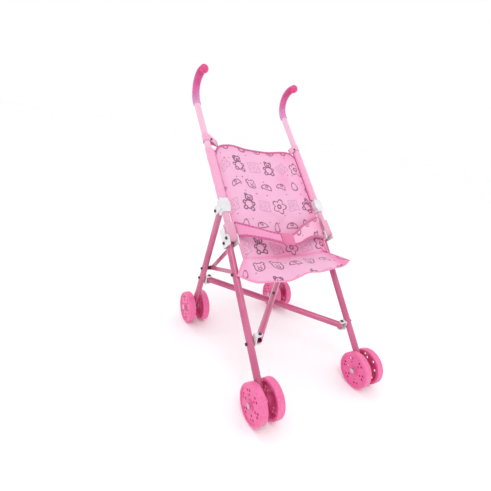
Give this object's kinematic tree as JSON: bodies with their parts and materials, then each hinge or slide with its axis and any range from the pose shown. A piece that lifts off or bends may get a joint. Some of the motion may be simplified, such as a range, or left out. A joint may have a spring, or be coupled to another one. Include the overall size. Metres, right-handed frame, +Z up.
{
  "type": "doll stroller",
  "caption": "Folding umbrella-style doll stroller: tube frame with hooked handles, crossed bars, side links, twin wheels and a fabric sling seat with a waist belt.",
  "frame": {"origin": "on the floor, under the middle of the bounding box", "axes": "+Z up, front of the stroller towards -Y, left and right along X"},
  "size_m": [0.2896, 0.476, 0.5642],
  "materials": {
    "tube_paint": "glossy pink paint",
    "wheel_plastic": "moulded hot pink plastic",
    "white_plastic": "moulded white plastic",
    "dark_screws": "blackened steel screws",
    "steel": "plain steel",
    "grip_plastic": "soft pink plastic",
    "seat_cloth": "printed pale pink nylon",
    "belt_webbing": "bound pink nylon"
  },
  "bodies": {
    "right_handle": {"right_handle_tube": "tube_paint", "right_grip": "grip_plastic", "right_grip_tip": "grip_plastic", "right_pivot_block": "white_plastic", "right_ear_bracket": "white_plastic", "right_handle_screws": "dark_screws", "seat_sling": "seat_cloth", "right_belt": "belt_webbing", "left_belt": "belt_webbing"},
    "left_handle": {"left_handle_tube": "tube_paint", "left_grip": "grip_plastic", "left_grip_tip": "grip_plastic", "left_pivot_block": "white_plastic", "left_ear_bracket": "white_plastic", "left_handle_screws": "dark_screws"},
    "right_front_leg": {"right_front_leg": "tube_paint", "right_leg_clevis": "white_plastic", "right_front_leg_screws": "dark_screws", "right_front_axle": "steel", "right_front_spacers": "white_plastic"},
    "right_rear_leg": {"right_rear_leg": "tube_paint", "right_rear_leg_screws": "dark_screws", "right_rear_axle": "steel", "right_rear_spacers": "white_plastic"},
    "right_side_link": {"right_side_link": "tube_paint"},
    "right_lock_strut": {"right_lock_strut": "tube_paint"},
    "right_rear_yoke": {"right_rear_yoke": "white_plastic", "right_rear_yoke_pin": "steel"},
    "right_cross_bar": {"right_cross_bar": "tube_paint"},
    "left_front_yoke": {"left_front_yoke": "white_plastic", "left_front_yoke_pin": "steel"},
    "left_front_leg": {"left_front_leg": "tube_paint", "left_leg_clevis": "white_plastic", "left_front_leg_screws": "dark_screws", "left_front_axle": "steel", "left_front_spacers": "white_plastic"},
    "left_rear_leg": {"left_rear_leg": "tube_paint", "left_rear_leg_screws": "dark_screws", "left_rear_axle": "steel", "left_rear_spacers": "white_plastic"},
    "left_side_link": {"left_side_link": "tube_paint"},
    "left_lock_strut": {"left_lock_strut": "tube_paint"},
    "left_rear_yoke": {"left_rear_yoke": "white_plastic", "left_rear_yoke_pin": "steel"},
    "left_cross_bar": {"left_cross_bar": "tube_paint", "crossing_screw": "dark_screws"},
    "right_front_yoke": {"right_front_yoke": "white_plastic", "right_front_yoke_pin": "steel"},
    "right_front_outer_wheel": {"right_front_outer_wheel": "wheel_plastic"},
    "right_front_inner_wheel": {"right_front_inner_wheel": "wheel_plastic"},
    "right_rear_outer_wheel": {"right_rear_outer_wheel": "wheel_plastic"},
    "right_rear_inner_wheel": {"right_rear_inner_wheel": "wheel_plastic"},
    "left_front_outer_wheel": {"left_front_outer_wheel": "wheel_plastic"},
    "left_front_inner_wheel": {"left_front_inner_wheel": "wheel_plastic"},
    "left_rear_outer_wheel": {"left_rear_outer_wheel": "wheel_plastic"},
    "left_rear_inner_wheel": {"left_rear_inner_wheel": "wheel_plastic"}
  },
  "joints": [
    {"name": "fold", "type": "hinge", "parent": "right_handle", "child": "right_front_leg", "pos_m": [-0.118, -0.02498, 0.257], "axis": [-1, 0, 0], "range_deg": [0, 132], "deforming": ["seat_sling", "right_belt", "left_belt"]},
    {"name": "sides_close", "type": "slide", "parent": "right_handle", "child": "left_handle", "axis": [-1, 0, 0], "range_m": [0, 0.0801]},
    {"name": "left_front_fold", "type": "hinge", "parent": "left_handle", "child": "left_front_leg", "pos_m": [0.118, -0.02498, 0.257], "axis": [-1, 0, 0], "range_deg": [0, 132.02]},
    {"name": "right_rear_fold", "type": "hinge", "parent": "right_handle", "child": "right_rear_leg", "pos_m": [-0.118, 0.03601, 0.29059], "axis": [-1, 0, 0], "range_deg": [0, 57.22]},
    {"name": "right_link_swing", "type": "hinge", "parent": "right_rear_leg", "child": "right_side_link", "pos_m": [-0.118, 0.07693, 0.14732], "axis": [-1, 0, 0], "range_deg": [0, 18.65]},
    {"name": "right_strut_swing", "type": "hinge", "parent": "right_rear_leg", "child": "right_lock_strut", "pos_m": [-0.118, 0.07693, 0.14732], "axis": [-1, 0, 0], "range_deg": [0, 26.92]},
    {"name": "right_yoke_turn", "type": "hinge", "parent": "right_rear_leg", "child": "right_rear_yoke", "pos_m": [-0.118, 0.08435, 0.12136], "axis": [-1, 0, 0], "range_deg": [0, 40.94]},
    {"name": "right_bar_swing", "type": "hinge", "parent": "right_rear_yoke", "child": "right_cross_bar", "pos_m": [-0.101, 0.08486, 0.11448], "axis": [0, -0.0743, 0.9972], "range_deg": [-21.22, 0]},
    {"name": "left_front_yoke_swing", "type": "hinge", "parent": "right_cross_bar", "child": "left_front_yoke", "pos_m": [0.101, -0.14038, 0.0977], "axis": [0, -0.0743, 0.9972], "range_deg": [0, 21.22]},
    {"name": "left_rear_fold", "type": "hinge", "parent": "left_handle", "child": "left_rear_leg", "pos_m": [0.118, 0.03601, 0.29059], "axis": [-1, 0, 0], "range_deg": [0, 57.22]},
    {"name": "left_link_swing", "type": "hinge", "parent": "left_rear_leg", "child": "left_side_link", "pos_m": [0.118, 0.07693, 0.14732], "axis": [-1, 0, 0], "range_deg": [0, 18.65]},
    {"name": "left_strut_swing", "type": "hinge", "parent": "left_rear_leg", "child": "left_lock_strut", "pos_m": [0.118, 0.07693, 0.14732], "axis": [-1, 0, 0], "range_deg": [0, 26.92]},
    {"name": "left_yoke_turn", "type": "hinge", "parent": "left_rear_leg", "child": "left_rear_yoke", "pos_m": [0.118, 0.08435, 0.12136], "axis": [-1, 0, 0], "range_deg": [0, 40.94]},
    {"name": "left_bar_swing", "type": "hinge", "parent": "left_rear_yoke", "child": "left_cross_bar", "pos_m": [0.101, 0.08384, 0.12824], "axis": [0, -0.0743, 0.9972], "range_deg": [0, 21.22]},
    {"name": "right_front_yoke_swing", "type": "hinge", "parent": "left_cross_bar", "child": "right_front_yoke", "pos_m": [-0.101, -0.14141, 0.11146], "axis": [0, -0.0743, 0.9972], "range_deg": [-21.22, 0]},
    {"name": "right_front_outer_spin", "type": "hinge", "parent": "right_front_leg", "child": "right_front_outer_wheel", "pos_m": [-0.1345, -0.20298, 0.035], "axis": [1, 0, 0], "continuous": true},
    {"name": "right_front_inner_spin", "type": "hinge", "parent": "right_front_leg", "child": "right_front_inner_wheel", "pos_m": [-0.1015, -0.20298, 0.035], "axis": [1, 0, 0], "continuous": true},
    {"name": "right_rear_outer_spin", "type": "hinge", "parent": "right_rear_leg", "child": "right_rear_outer_wheel", "pos_m": [-0.1345, 0.10902, 0.035], "axis": [1, 0, 0], "continuous": true},
    {"name": "right_rear_inner_spin", "type": "hinge", "parent": "right_rear_leg", "child": "right_rear_inner_wheel", "pos_m": [-0.1015, 0.10902, 0.035], "axis": [1, 0, 0], "continuous": true},
    {"name": "left_front_outer_spin", "type": "hinge", "parent": "left_front_leg", "child": "left_front_outer_wheel", "pos_m": [0.1345, -0.20298, 0.035], "axis": [1, 0, 0], "continuous": true},
    {"name": "left_front_inner_spin", "type": "hinge", "parent": "left_front_leg", "child": "left_front_inner_wheel", "pos_m": [0.1015, -0.20298, 0.035], "axis": [1, 0, 0], "continuous": true},
    {"name": "left_rear_outer_spin", "type": "hinge", "parent": "left_rear_leg", "child": "left_rear_outer_wheel", "pos_m": [0.1345, 0.10902, 0.035], "axis": [1, 0, 0], "continuous": true},
    {"name": "left_rear_inner_spin", "type": "hinge", "parent": "left_rear_leg", "child": "left_rear_inner_wheel", "pos_m": [0.1015, 0.10902, 0.035], "axis": [1, 0, 0], "continuous": true}
  ],
  "couplings": [
    {"joint": "sides_close", "follows": "fold", "m_per_rad": 0.034725},
    {"joint": "left_front_fold", "follows": "fold", "ratio": 1},
    {"joint": "right_rear_fold", "follows": "fold", "ratio": 0.43332},
    {"joint": "right_link_swing", "follows": "fold", "ratio": 0.14113},
    {"joint": "right_strut_swing", "follows": "fold", "ratio": 0.20381},
    {"joint": "right_yoke_turn", "follows": "fold", "ratio": 0.31003},
    {"joint": "right_bar_swing", "follows": "fold", "ratio": -0.16061},
    {"joint": "left_front_yoke_swing", "follows": "fold", "ratio": 0.16061},
    {"joint": "left_rear_fold", "follows": "fold", "ratio": 0.43332},
    {"joint": "left_link_swing", "follows": "fold", "ratio": 0.14113},
    {"joint": "left_strut_swing", "follows": "fold", "ratio": 0.20381},
    {"joint": "left_yoke_turn", "follows": "fold", "ratio": 0.31003},
    {"joint": "left_bar_swing", "follows": "fold", "ratio": 0.16061},
    {"joint": "right_front_yoke_swing", "follows": "fold", "ratio": -0.16061}
  ]
}
